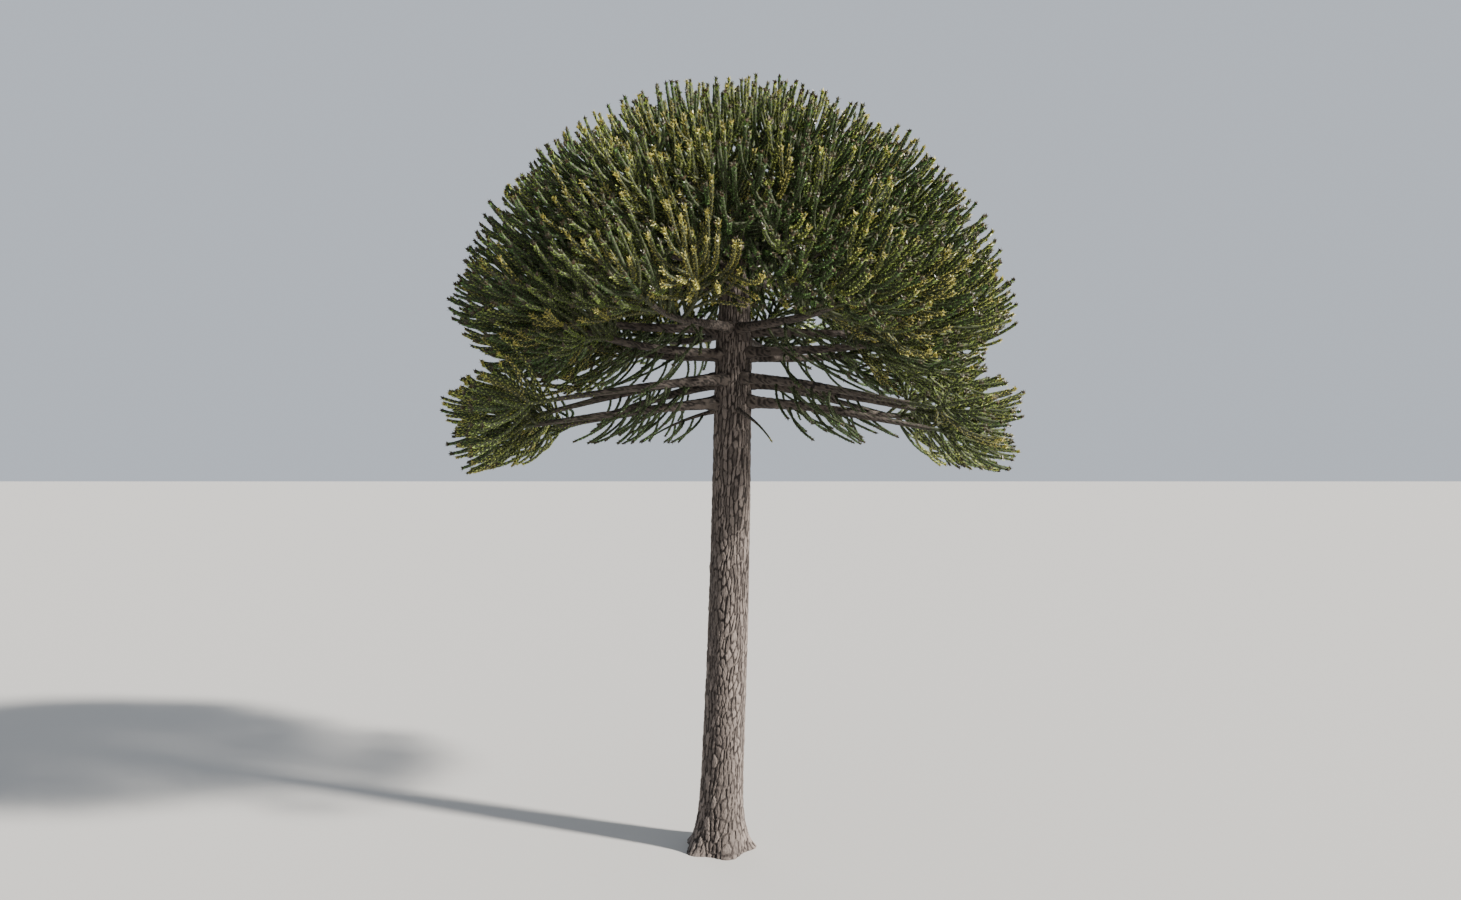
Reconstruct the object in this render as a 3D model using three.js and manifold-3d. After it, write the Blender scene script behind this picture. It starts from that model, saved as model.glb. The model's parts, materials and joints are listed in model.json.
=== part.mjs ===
// A mature monkey puzzle tree: a tall bare trunk under a domed crown of rope-like leafy shoots.
// Millimetres, +Z up. The origin is the centre of the flat cut under the trunk, at ground level.
// The lower boughs are bare limbs that end where they enter a mass of shoots. Higher masses stand on the trunk itself.

import * as THREE from 'three';
import { mergeVertices } from 'three/addons/utils/BufferGeometryUtils.js';
import Module from 'manifold-3d';

const wasm = await Module();
wasm.setup();

// Trunk
const TRUNK_TOP = 11850;
const BOLE_RADIUS = 375;
const BOLE_TAPER = 0.0065;
const FLARE_RADIUS = 215;
const FLARE_HEIGHT = 330;
const ROOT_LOBES = 5;
const ROOT_LOBE_DEPTH = 0.11;
const LEADER_HEIGHT = 8600;
const LEADER_TIP_RADIUS = 50;
const LEADER_TAPER_POWER = 0.9;
const LEAN = 0.032;
const SWAY = 35;
const SWAY_LENGTH = 2300;
const TRUNK_SIDES = 20;
const TRUNK_RINGS = 12;
const RING_CROWDING = 1.5; // above 1 the rings crowd towards the ground

// Crown: a ball of shoots cut off below, with a shallow waist between its two lowest tiers. From the front and the
// back its underside is an arch over the bare boughs, given as [distance to the side of the trunk, height].
const CROWN_RADIUS = 4950;
const CROWN_CENTRE_HEIGHT = 8065;
const UNDERSIDE = [[0, 8850], [1500, 8700], [2200, 8250], [3000, 7450], [3500, 6800], [3900, 6450], [4400, 6350]];
const INNER_FLOOR = 6900;
const WAIST_RISE = 3;
const WAIST_WIDTH = 5;
const WAIST_DEPTH = 0.13;

// Shoots. They leave a stem in whorls of four, some of them as sprays with whorls of their own, and each stands for
// the few thinner ones that fill the same space on the real tree.
const SHOOT_RADIUS = 50;
const SHOOT_END_WIDTH = 92;
const SHOOT_LONGEST = 1250;
const SHOOT_SHORTEST = 380;
const SHOOT_SHORTENING = 0.45; // from the foot of a stem to its tip
const LENGTH_PLAY = 0.2;
const SHOOT_REACH_PLAY = 0.06;
const SPRAY_LONGEST = 1900;
const SPRAY_SHORTEST = 500; // so that its two whorls stay apart
const SPRAY_TAPER = 0.9;
const SPRAY_REACH_PLAY = 0.045;
const WHORL_DEPTH = 135;
const STEM_WHORLS = [0.16, 0.38, 0.6, 0.82];
const SPRAY_WHORLS = [0.36, 0.66];
const SPRAY_WALLS = [[0, 2], [1, 3], [0, 2], []];
const FORK_AT_FOOT = 76;
const FORK_AT_TIP = 40;
const FORK_PLAY = 14;
const ROLL_PLAY = 40;
const GROWTH_STEP = 100;
const TURN_PER_STEP = 0.055;
const STRAIGHT_SHOOT_TURN = 0.22;
const SWEEP_SHARE = 0.78;
const KIN_GAP = 122;
const SPACE_GAP = 120;
const WOOD_GAP = 65;
const WOOD_REACH = 200;
const PARENT_REACH = 260;

// Limbs
const LIMB_SIDES = 6;
const LIMB_RINGS = 3;
const STEM_RADIUS = 62;
const STEM_TIP_RADIUS = 44;
const SEAT_GAP = 0.3;
const LIMB_SAMPLES = 16;
const LIMB_HOLD = 0.38;
const BEARING_PLAY = 0.26;
const ATTACH_PLAY = 0.5;
const TIP_PLAY = 5;
const TIP_STEP = 3;
const LEAVING_PLAY = 16;

// Each tier is a set of limbs that leave the trunk at about one height and rise or droop alike.
// attach: height on the trunk. turn: bearing of its first limb, from +X towards +Y. tip: rise of its end as seen
// from the crown's centre. start, end: slope of the limb at the trunk and at its tip. reach: share of the crown's
// radius. bare: share of the limb with no shoots. opening: how much of the circle stays free of limbs at the front, and
// again at the back. Angles are in degrees.
const TIERS = [
  { name: 'inner', limbs: 3, attach: 7480, stagger: 60, turn: -52, tip: -34, start: -12, end: -34, reach: 0.4,
    bare: 0.3, opening: 0, girth: 74, bough: false },
  { name: 'lower', limbs: 10, attach: 7820, stagger: 190, turn: -74, tip: -11, start: -3, end: -8, reach: 0.97,
    bare: 0.44, opening: 92, girth: 96, bough: true },
  { name: 'middle', limbs: 10, attach: 8640, stagger: 210, turn: -67, tip: 17, start: 1, end: 34, reach: 0.97,
    bare: 0.42, opening: 16, girth: 92, bough: true },
  { name: 'upper', limbs: 7, attach: 9700, stagger: 170, turn: -14, tip: 38, start: 16, end: 58, reach: 0.97,
    bare: 0.34, opening: 0, girth: 78, bough: false },
  { name: 'high', limbs: 5, attach: 10560, stagger: 150, turn: 20, tip: 58, start: 38, end: 76, reach: 0.97,
    bare: 0.34, opening: 0, girth: 66, bough: false },
  { name: 'top', limbs: 3, attach: 11200, stagger: 100, turn: 70, tip: 75, start: 58, end: 84, reach: 0.97,
    bare: 0.32, opening: 0, girth: 56, bough: false },
];

// The leader goes on from the trunk's tip as the middle of the topmost mass
const CREST = { name: 'crest', bare: 0.12, girth: LEADER_TIP_RADIUS, bough: false };
const CREST_SEED = 900;
const CREST_OVERLAP = 20;
const CREST_REACH = 0.93;

// Colours
const BARK = new THREE.MeshStandardMaterial({ color: 0x5d534c, roughness: 0.93, metalness: 0 });
const BOUGH_BARK = new THREE.MeshStandardMaterial({ color: 0x4d4238, roughness: 0.9, metalness: 0 });
const LEAVES = new THREE.MeshStandardMaterial({ color: 0x52622a, roughness: 0.62, metalness: 0 });

const radians = THREE.MathUtils.degToRad;

// The same number from 0 to 1 each time for the same seed
function chance(seed) {
  const wave = Math.sin(seed * 12.9898) * 43758.5453;
  return wave - Math.floor(wave);
}

function heading(bearing, rise) {
  const [b, r] = [radians(bearing), radians(rise)];
  return new THREE.Vector3(Math.cos(r) * Math.cos(b), Math.cos(r) * Math.sin(b), Math.sin(r));
}

function trunkAxis(height) {
  return new THREE.Vector3(LEAN * height + SWAY * Math.sin(height / SWAY_LENGTH), 0, height);
}

function trunkRadius(height, bearing = 0) {
  const bole = BOLE_RADIUS - BOLE_TAPER * height;
  const climb = THREE.MathUtils.clamp((height - LEADER_HEIGHT) / (TRUNK_TOP - LEADER_HEIGHT), 0, 1);
  const leader = LEADER_TIP_RADIUS + (bole - LEADER_TIP_RADIUS) * (1 - climb) ** LEADER_TAPER_POWER;
  const lobes = 1 + ROOT_LOBE_DEPTH * Math.exp(-height / FLARE_HEIGHT) * Math.cos(ROOT_LOBES * bearing);
  return (leader + FLARE_RADIUS * Math.exp(-height / FLARE_HEIGHT)) * lobes;
}

const crownCentre = trunkAxis(CROWN_CENTRE_HEIGHT);

// How far the crown reaches from its centre in a direction with this rise
function crownReach(rise) {
  const waist = WAIST_DEPTH * Math.exp(-(((rise - WAIST_RISE) / WAIST_WIDTH) ** 2));
  return CROWN_RADIUS * (1 - waist);
}

function riseOf(vector) {
  return THREE.MathUtils.radToDeg(Math.atan2(vector.z, Math.hypot(vector.x, vector.y)));
}

// Solids

function solidOf(geometry) {
  geometry.deleteAttribute('normal');
  geometry.deleteAttribute('uv');
  const merged = mergeVertices(geometry);
  return new wasm.Manifold(new wasm.Mesh({
    numProp: 3,
    vertProperties: merged.attributes.position.array,
    triVerts: new Uint32Array(merged.index.array),
  }));
}

function geometryOf(solid) {
  const mesh = solid.getMesh();
  const geometry = new THREE.BufferGeometry();
  geometry.setAttribute('position', new THREE.BufferAttribute(mesh.vertProperties, 3));
  geometry.setIndex(new THREE.BufferAttribute(mesh.triVerts, 1));
  geometry.computeVertexNormals();
  return geometry;
}

function largestPiece(solid) {
  return solid.decompose().reduce((best, piece) => (piece.volume() > best.volume() ? piece : best));
}

const UP = new THREE.Vector3(0, 0, 1);
const ASIDE = new THREE.Vector3(1, 0, 0);

// Rings of a limb: for each [share of the curve's length, radius], a centre and two directions across it. The first
// direction is turned as little as can be from ring to ring.
function ringsAlong(curve, stations, firstUp = Math.abs(curve.getTangentAt(0).z) > 0.8 ? ASIDE : UP) {
  let up = firstUp;
  return stations.map(([share, radius]) => {
    const along = curve.getTangentAt(share);
    up = up.clone().addScaledVector(along, -up.dot(along)).normalize();
    return { centre: curve.getPointAt(share), radius, up, across: along.clone().cross(up), along };
  });
}

function cornerOf(ring, angle) {
  return ring.centre.clone()
    .addScaledVector(ring.up, ring.radius * Math.cos(angle))
    .addScaledVector(ring.across, ring.radius * Math.sin(angle));
}

// A cylinder wrapped round a curve
function wrapped(curve, stations, sides) {
  const rows = stations.length - 1;
  const geometry = new THREE.CylinderGeometry(1, 1, 1, sides, rows);
  const rings = ringsAlong(curve, stations);
  const place = geometry.attributes.position;
  for (let i = 0; i < place.count; i++) {
    const ring = rings[Math.round((place.getY(i) + 0.5) * rows)];
    const onAxis = Math.hypot(place.getX(i), place.getZ(i)) < 0.5;
    const corner = Math.round((Math.atan2(place.getX(i), place.getZ(i)) / (2 * Math.PI)) * sides + sides) % sides;
    const point = onAxis ? ring.centre : cornerOf(ring, (corner / sides) * 2 * Math.PI);
    place.setXYZ(i, point.x, point.y, point.z);
  }
  return solidOf(geometry);
}

// The solid of a four-sided stem with its whorls. At a whorl the stem has a short ring of four walls, and a wall with a
// shoot of its own is drawn out into it. Every shoot ends in a short edge.
function whorledSolid(stem) {
  const points = [];
  const faces = [];
  const addRing = (ring) => [1, 3, 5, 7].map((eighth) => points.push(cornerOf(ring, (eighth * Math.PI) / 4)) - 1);
  const addWall = (a, b, c, d) => faces.push(a, b, c, a, c, d);
  const addEnd = ([a, b, c, d], centre, tip, spread) => {
    const along = tip.clone().sub(centre).normalize();
    const half = spread.clone().addScaledVector(along, -spread.dot(along)).setLength(SHOOT_END_WIDTH / 2);
    const near = points.push(tip.clone().sub(half)) - 1;
    const far = points.push(tip.clone().add(half)) - 1;
    faces.push(a, b, near, b, c, far, b, far, near, c, d, far, d, a, near, d, near, far);
  };
  const addStem = ({ curve, stations, whorls, firstUp }, foot) => {
    const rings = ringsAlong(curve, stations, firstUp);
    let below = foot ?? addRing(rings[0]);
    if (!foot) addWall(below[0], below[3], below[2], below[1]);
    for (let r = 1; r < rings.length; r++) {
      const above = addRing(rings[r]);
      for (let wall = 0; wall < 4; wall++) {
        const next = (wall + 1) % 4;
        const base = [below[wall], below[next], above[next], above[wall]];
        const shoot = r % 2 ? null : whorls[r / 2 - 1].shoots[wall];
        if (!shoot) addWall(...base);
        else if (shoot.stations) addStem(shoot, [base[3], base[0], base[1], base[2]]);
        else addEnd(base, rings[r].centre, shoot.curve.getPointAt(1), rings[r].along);
      }
      below = above;
    }
    const end = rings[rings.length - 1];
    addEnd([below[2], below[3], below[0], below[1]], end.centre, curve.getPointAt(1), end.across);
  };
  addStem(stem);
  const geometry = new THREE.BufferGeometry().setFromPoints(points);
  geometry.setIndex(faces);
  return solidOf(geometry);
}

// The trunk, or the same grown by a margin so that what it cuts stands clear of it
function trunkSolid(margin = 0) {
  const geometry = new THREE.CylinderGeometry(1, 1, 1, TRUNK_SIDES, TRUNK_RINGS);
  const place = geometry.attributes.position;
  for (let i = 0; i < place.count; i++) {
    const ring = Math.round((place.getY(i) + 0.5) * TRUNK_RINGS);
    const height = TRUNK_TOP * (ring / TRUNK_RINGS) ** RING_CROWDING + (ring === TRUNK_RINGS ? margin : 0);
    const onAxis = Math.hypot(place.getX(i), place.getZ(i)) < 0.5;
    const turn = Math.atan2(place.getX(i), place.getZ(i)) / (2 * Math.PI);
    const bearing = (Math.round(turn * TRUNK_SIDES + TRUNK_SIDES) % TRUNK_SIDES) * (2 * Math.PI / TRUNK_SIDES);
    const radius = onAxis ? 0 : trunkRadius(height, bearing) + margin;
    const axis = trunkAxis(height);
    place.setXYZ(i, axis.x + radius * Math.cos(bearing), axis.y + radius * Math.sin(bearing), height);
  }
  return solidOf(geometry);
}

// Limbs

// Limbs leave the trunk all round, and those of a tier with an opening turn towards the nearer side.
function limbPlan(tier, tierIndex, number) {
  const seed = 100 * tierIndex + number;
  const even = tier.turn + (360 * (number + BEARING_PLAY * (chance(seed) - 0.5))) / tier.limbs;
  const side = 180 * Math.round(even / 180);
  const bearing = side + (even - side) * (1 - tier.opening / 180);
  const step = (tier.opening ? number % (tier.limbs / 2) : number) % 2 ? -0.5 : 0.5;
  const foot = trunkAxis(tier.attach + tier.stagger * (2 * step + ATTACH_PLAY * (chance(seed + 31) - 0.5)));
  const tipRise = tier.tip + TIP_PLAY * (chance(seed + 57) - 0.5) + (tier.bough ? TIP_STEP * step : 0);
  const tip = crownCentre.clone().addScaledVector(heading(bearing, tipRise), tier.reach * crownReach(tipRise));
  const hold = LIMB_HOLD * foot.distanceTo(tip);
  const leaving = heading((even + bearing) / 2 + LEAVING_PLAY * (chance(seed + 73) - 0.5), tier.start);
  const arriving = heading(bearing, tier.end);
  const path = new THREE.CubicBezierCurve3(
    foot,
    foot.clone().addScaledVector(leaving, hold),
    tip.clone().addScaledVector(arriving, -hold),
    tip,
  );
  return { tier, seed, path, name: `${tier.name}_${String(number + 1).padStart(2, '0')}` };
}

// A stretch of a limb's path as a curve of its own, from share a to share b of its length
function stretch(path, a, b) {
  const part = new THREE.Curve();
  part.getPoint = (t, target = new THREE.Vector3()) => path.getPointAt(a + (b - a) * t, target);
  part.getTangent = (t, target = new THREE.Vector3()) => path.getTangentAt(a + (b - a) * t, target);
  return part;
}

function boughSolid(limb, trunkCutter) {
  const { girth, bare } = limb.tier;
  const stations = Array.from({ length: LIMB_RINGS + 1 }, (_, i) => {
    return [i / LIMB_RINGS, girth + ((STEM_RADIUS - girth) * i) / LIMB_RINGS];
  });
  return largestPiece(wrapped(stretch(limb.path, 0, bare), stations, LIMB_SIDES).subtract(trunkCutter));
}

// Space. Each mass keeps the points that lie nearer to its own limb than to any other.

function sampled(path) {
  return path.getSpacedPoints(LIMB_SAMPLES);
}

function distanceTo(points, p) {
  let least = Infinity;
  for (let i = 1; i < points.length; i++) {
    const line = new THREE.Line3(points[i - 1], points[i]);
    least = Math.min(least, line.closestPointToPoint(p, true, new THREE.Vector3()).distanceTo(p));
  }
  return least;
}

function inOwnSpace(p, limb, limbs) {
  const own = distanceTo(limb.points, p);
  return limbs.every((other) => other === limb || distanceTo(other.points, p) > own + SPACE_GAP);
}

function clearOfWood(p, limb) {
  const axis = trunkAxis(p.z);
  const fromTrunk = p.z < TRUNK_TOP + SHOOT_RADIUS ? Math.hypot(p.x - axis.x, p.y - axis.y) : Infinity;
  if (fromTrunk < trunkRadius(p.z) + WOOD_GAP) return false;
  return !limb.boughPoints || distanceTo(limb.boughPoints, p) > limb.tier.girth + WOOD_GAP;
}

// Shoots

// The direction that a shoot at this place sweeps round to: outwards, and steeper the higher it is in the crown
function sweep(p) {
  const out = p.clone().sub(crownCentre);
  const bearing = THREE.MathUtils.radToDeg(Math.atan2(out.y, out.x));
  return heading(bearing, 90 - SWEEP_SHARE * (90 - riseOf(out)));
}

// The height of the crown's underside. Only the inner masses hang below it, down to a floor of their own.
function floorAt(p, tier) {
  if (tier.name === 'inner') return INNER_FLOOR;
  const aside = Math.abs(p.x - crownCentre.x);
  const next = UNDERSIDE.findIndex(([distance]) => distance > aside);
  if (next < 0) return UNDERSIDE[UNDERSIDE.length - 1][1];
  const [[a, low], [b, high]] = [UNDERSIDE[next - 1], UNDERSIDE[next]];
  return THREE.MathUtils.mapLinear(aside, a, b, low, high);
}

// The path of a shoot. It ends on the crown's shell, or before it would leave its own space, meet wood or come too
// near to other shoots of its mass. Those that leave the same whorl part at once, and its parent is met only later.
function growShoot(start, away, turn, longest, reach, parent, mass) {
  const points = [start.clone()];
  const direction = away.clone();
  const kin = mass.paths.filter((path) => path[0].distanceTo(start) > 1);
  let p = start.clone();
  for (let grown = GROWTH_STEP; grown <= longest; grown += GROWTH_STEP) {
    direction.lerp(sweep(p), turn).normalize();
    p = p.clone().addScaledVector(direction, GROWTH_STEP);
    const out = p.clone().sub(crownCentre);
    const shell = reach * crownReach(riseOf(out));
    const atShell = out.length() > shell;
    if (atShell) p = out.setLength(shell).add(crownCentre);
    if (p.z < floorAt(p, mass.limb.tier) || !inOwnSpace(p, mass.limb, mass.limbs)) break;
    if (grown > WOOD_REACH && !clearOfWood(p, mass.limb)) break;
    if (kin.some((path) => (path !== parent || grown > PARENT_REACH) && distanceTo(path, p) < KIN_GAP)) break;
    points.push(p);
    if (atShell) break;
  }
  if (GROWTH_STEP * (points.length - 1) < (turn ? SPRAY_SHORTEST : SHOOT_SHORTEST)) return null;
  mass.paths.push(points);
  return { curve: new THREE.CatmullRomCurve3(points), points };
}

// The direction in which a shoot leaves a wall of a whorl. Walls face across, down, back across and up, in that order.
function leaving(ring, wall, share, luck) {
  const outward = [ring.across, ring.up.clone().negate(), ring.across.clone().negate(), ring.up][wall];
  const fork = radians(FORK_AT_FOOT + (FORK_AT_TIP - FORK_AT_FOOT) * share + FORK_PLAY * (chance(luck) - 0.5));
  const away = ring.along.clone().multiplyScalar(Math.cos(fork)).addScaledVector(outward, Math.sin(fork));
  return away.applyAxisAngle(ring.along, radians(ROLL_PLAY * (chance(luck + 11) - 0.5)));
}

function straightShoot(whorl, wall, luck, parent, mass) {
  const away = leaving(whorl.ring, wall, whorl.share, luck);
  away.lerp(sweep(whorl.ring.centre), STRAIGHT_SHOOT_TURN).normalize();
  const play = 1 - LENGTH_PLAY * chance(luck + 23);
  const longest = SHOOT_LONGEST * (1 - SHOOT_SHORTENING * whorl.share) * play;
  const reach = 1 - SHOOT_REACH_PLAY * chance(luck + 37);
  return growShoot(whorl.ring.centre, away, 0, longest, reach, parent, mass);
}

// A stem's rings: one at its foot, and two at each whorl
function withWhorls(curve, footRadius, tipRadius, shares, firstUp) {
  const depth = WHORL_DEPTH / 2 / curve.getLength();
  const stations = [0, ...shares.flatMap((share) => [share - depth, share + depth])]
    .map((share) => [share, footRadius + (tipRadius - footRadius) * share]);
  const rings = ringsAlong(curve, stations, firstUp);
  const whorls = shares.map((share, i) => ({ share, ring: rings[2 * i + 2], shoots: [null, null, null, null] }));
  return { curve, stations, whorls, firstUp };
}

// The stem of a mass goes on from its bough, or leaves the trunk itself. Sprays are grown first, then the shoots
// between them, then those of the sprays.
function massStem(limb, limbs) {
  const { bare, bough, girth } = limb.tier;
  const from = bough ? bare + SEAT_GAP / limb.path.getLength() : 0;
  const shares = STEM_WHORLS.map((share) => (bare + (1 - bare) * share - from) / (1 - from));
  const stem = withWhorls(stretch(limb.path, from, 1), bough ? STEM_RADIUS : girth, STEM_TIP_RADIUS, shares);
  const mass = { limb, limbs, paths: [limb.points] };
  const sprays = [];
  stem.whorls.forEach((whorl, w) => SPRAY_WALLS[w].forEach((wall) => {
    const luck = limb.seed * 53 + w * 7 + wall;
    const away = leaving(whorl.ring, wall, STEM_WHORLS[w], luck);
    const reach = 1 - SPRAY_REACH_PLAY * chance(luck + 1);
    const path = growShoot(whorl.ring.centre, away, TURN_PER_STEP, SPRAY_LONGEST, reach, limb.points, mass);
    if (!path) return;
    const spray = withWhorls(path.curve, SHOOT_RADIUS, SHOOT_RADIUS * SPRAY_TAPER, SPRAY_WHORLS, whorl.ring.along);
    whorl.shoots[wall] = spray;
    sprays.push({ ...spray, points: path.points, luck });
  }));
  stem.whorls.forEach((whorl, w) => whorl.shoots.forEach((shoot, wall) => {
    const luck = limb.seed * 41 + w * 7 + wall;
    whorl.shoots[wall] = shoot ?? straightShoot(whorl, wall, luck, limb.points, mass);
  }));
  for (const { whorls, points, luck } of sprays) {
    whorls.forEach((whorl, w) => whorl.shoots.forEach((_, wall) => {
      if ((wall + luck) % (w ? 2 : 4) === 0) return;
      whorl.shoots[wall] = straightShoot(whorl, wall, luck * 3 + w * 5 + wall, points, mass);
    }));
  }
  return stem;
}

// The tree

function named(solid, name, material) {
  const mesh = new THREE.Mesh(geometryOf(solid), material);
  mesh.name = name;
  return mesh;
}

const tree = new THREE.Group();
tree.name = 'monkey_puzzle_tree';
tree.add(named(trunkSolid(), 'trunk', BARK));

const trunkCutter = trunkSolid(SEAT_GAP + 0.1);
const limbs = TIERS.flatMap((tier, i) => Array.from({ length: tier.limbs }, (_, n) => limbPlan(tier, i, n)));
const crestFoot = trunkAxis(TRUNK_TOP - CREST_OVERLAP);
const crestTip = trunkAxis(CROWN_CENTRE_HEIGHT + CREST_REACH * CROWN_RADIUS);
limbs.push({ tier: CREST, seed: CREST_SEED, name: 'crest_01', path: new THREE.LineCurve3(crestFoot, crestTip) });

for (const limb of limbs) {
  limb.points = sampled(limb.path);
  if (limb.tier.bough) limb.boughPoints = sampled(stretch(limb.path, 0, limb.tier.bare));
}

for (const limb of limbs) {
  if (limb.tier.bough) tree.add(named(boughSolid(limb, trunkCutter), `bough_${limb.name}`, BOUGH_BARK));
  const mass = whorledSolid(massStem(limb, limbs));
  const standing = limb.tier.bough ? mass : largestPiece(mass.subtract(trunkCutter));
  tree.add(named(standing, `foliage_${limb.name}`, LEAVES));
}

export default tree;
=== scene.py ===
"""A mature monkey puzzle tree: a bare plated trunk under a domed crown of rope-like leafy shoots.

Metres, +Z up, with the origin at ground level under the trunk. The limbs are worked out again by the rule
that the solids follow. Sprays and shoots then grow on from them, finer than the solids', and are covered in
stiff leaves.
"""

import json
import math
from collections import defaultdict

import bpy
import numpy as np
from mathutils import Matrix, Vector

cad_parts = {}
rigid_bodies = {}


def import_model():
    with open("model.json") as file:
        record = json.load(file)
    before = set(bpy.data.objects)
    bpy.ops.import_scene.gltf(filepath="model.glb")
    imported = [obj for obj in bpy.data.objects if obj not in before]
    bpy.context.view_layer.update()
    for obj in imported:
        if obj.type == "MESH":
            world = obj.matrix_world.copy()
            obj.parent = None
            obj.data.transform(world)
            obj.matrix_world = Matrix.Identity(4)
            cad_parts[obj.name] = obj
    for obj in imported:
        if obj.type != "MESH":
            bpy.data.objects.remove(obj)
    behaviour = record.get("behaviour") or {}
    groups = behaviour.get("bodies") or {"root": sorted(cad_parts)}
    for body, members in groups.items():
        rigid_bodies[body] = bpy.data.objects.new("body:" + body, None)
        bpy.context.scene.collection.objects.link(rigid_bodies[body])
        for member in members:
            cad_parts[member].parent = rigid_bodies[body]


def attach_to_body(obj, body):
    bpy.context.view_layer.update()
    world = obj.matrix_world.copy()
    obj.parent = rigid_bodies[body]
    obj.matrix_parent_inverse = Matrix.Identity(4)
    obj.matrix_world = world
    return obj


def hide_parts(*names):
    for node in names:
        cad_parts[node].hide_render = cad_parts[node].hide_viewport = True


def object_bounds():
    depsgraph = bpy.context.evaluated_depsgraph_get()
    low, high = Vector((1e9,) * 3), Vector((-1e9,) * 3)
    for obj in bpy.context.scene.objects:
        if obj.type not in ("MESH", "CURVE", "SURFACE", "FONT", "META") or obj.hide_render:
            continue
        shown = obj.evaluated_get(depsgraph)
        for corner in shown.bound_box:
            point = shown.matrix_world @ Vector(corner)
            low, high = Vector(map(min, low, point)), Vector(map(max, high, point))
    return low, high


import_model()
CAD_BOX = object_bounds()

# Trunk, as the solid's
TRUNK_TOP = 11.85
BOLE_RADIUS = 0.375
BOLE_TAPER = 0.0065
FLARE_RADIUS = 0.215
FLARE_HEIGHT = 0.33
ROOT_LOBES = 5
ROOT_LOBE_DEPTH = 0.11
LEADER_HEIGHT = 8.6
LEADER_TIP_RADIUS = 0.05
LEADER_EASING = 0.9
LEAN = 0.032
SWAY = 0.035
SWAY_LENGTH = 2.3

# Crown, as the solids'
CROWN_RADIUS = 4.95
CROWN_CENTRE_HEIGHT = 8.065
UNDERSIDE = ((0, 1.5, 2.2, 3.0, 3.5, 3.9, 4.4), (8.85, 8.7, 8.25, 7.45, 6.8, 6.45, 6.35))
INNER_FLOOR = 6.9
WAIST_RISE = 3
WAIST_WIDTH = 5
WAIST_DEPTH = 0.13
STEM_RADIUS = 0.062
STEM_LEAFY_FROM = 0.26
BARE_OVERLAP = 0.5

# Tiers of limbs, as the solids'
TIERS = [
    # Name, limbs, height on the trunk, stagger, bearing of the first, rise of the tip, slope at the trunk and
    # at the tip, share of the crown's radius, bare share, opening at front and back, girth, has a bough
    ("inner", 3, 7.48, 0.06, -52, -34, -12, -34, 0.4, 0.3, 0, 0.074, False),
    ("lower", 10, 7.82, 0.19, -74, -11, -3, -8, 0.97, 0.44, 92, 0.096, True),
    ("middle", 10, 8.64, 0.21, -67, 17, 1, 34, 0.97, 0.42, 16, 0.092, True),
    ("upper", 7, 9.70, 0.17, -14, 38, 16, 58, 0.97, 0.34, 0, 0.078, False),
    ("high", 5, 10.56, 0.15, 20, 58, 38, 76, 0.97, 0.34, 0, 0.066, False),
    ("top", 3, 11.20, 0.10, 70, 75, 58, 84, 0.97, 0.32, 0, 0.056, False),
]
LIMB_HOLD = 0.38
BEARING_PLAY = 0.26
ATTACH_PLAY = 0.5
TIP_PLAY = 5
TIP_STEP = 3
LEAVING_PLAY = 16
LIMB_CURVE_POINTS = 201
LIMB_MARKS = 17
LOOK_AHEAD = 0.01
STEEP = 0.8
CREST_SEED = 900
CREST_INSET = 0.02
CREST_REACH = 0.93
CREST_BARE = 0.12

# How a shoot grows. Here and below, a pair in brackets is the least, and the most that a seed adds to it.
GROWTH_STEP = 0.1
SHOOT_SHORTEST = 0.4
SHORTEST_INSIDE = 0.55
REACHED_DEPTH = 0.45
FOOT_FREE = 0.25
PARENT_REACH = 0.4
GAP_INSIDE = 0.1
GAP_AT_SHELL = 0.15
MINGLING = 0.6
SKIN = 0.034
TRUNK_CLEARANCE = 0.08
TIP_DEPTH = 1.05
TIP_EASING = 0.8
STRAIGHT_FOOT = 0.5
SLOPE_KEPT = 0.42
INNER_TURN = 0.16
TIP_TURN = 0.34
RISES = (-25, -15, -5, 5, 20, 40, 60, 90)
OUTWARD_SLOPES = (-36, -30, -22, -14, -4, 10, 30, 62)
TIP_SLOPES = (-6, 8, 24, 38, 54, 68, 80, 90)
FORK_AT_FOOT = 66
FORK_AT_TIP = 34
FORK_PLAY = 16

# Sprays in whorls on a stem
WHORL_SPACING = 0.24
WHORL_FOOT = 0.3
WHORL_SPRAYS = 4
SPRAY_ROLL_PLAY = 34
SPRAY_LONGEST = 2.4
SPRAY_TAPER = 0.4
SPRAY_LENGTHS = (0.8, 0.2)
SPRAY_REACH = (0.95, 0.05)
SPRAY_GIRTH = 1.35

# Pairs of side shoots on a spray, and forks on a long side shoot
PAIR_SPACING = 0.16
PAIR_FOOT = 0.16
PAIRS_END = 0.12
PAIR_ROLL_PLAY = 40
PAIR_FORKS = (0.25, 0.6)
SIDE_LONGEST = 2.0
SIDE_LENGTHS = (0.75, 0.25)
SIDE_REACH = (0.93, 0.07)
UNBRANCHED_DEPTH = 0.8
FORKED_FROM = 0.62
FORK_SHARES = (0.2, 0.4, 0.6)
FORK_ANGLE = math.radians(44)
FORK_LONGEST = 1.5

# Fans of thin twigs that hang under the bare wood
FAN_SPACING = 0.15
FAN_ON_INNER = (0.2, 1.0)
FAN_FROM_BARE = 0.5
FAN_ROLL = (10, 45)
FAN_FORK = (58, 30)
FAN_LENGTHS = (0.7, 0.9)
FAN_SLOPE = -10
FAN_TURN = 0.12
FAN_CLEAR = 0.45
FAN_FREE_STEPS = 3
FAN_SLIM = 0.85
INNER_SLIM = 0.55

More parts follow.
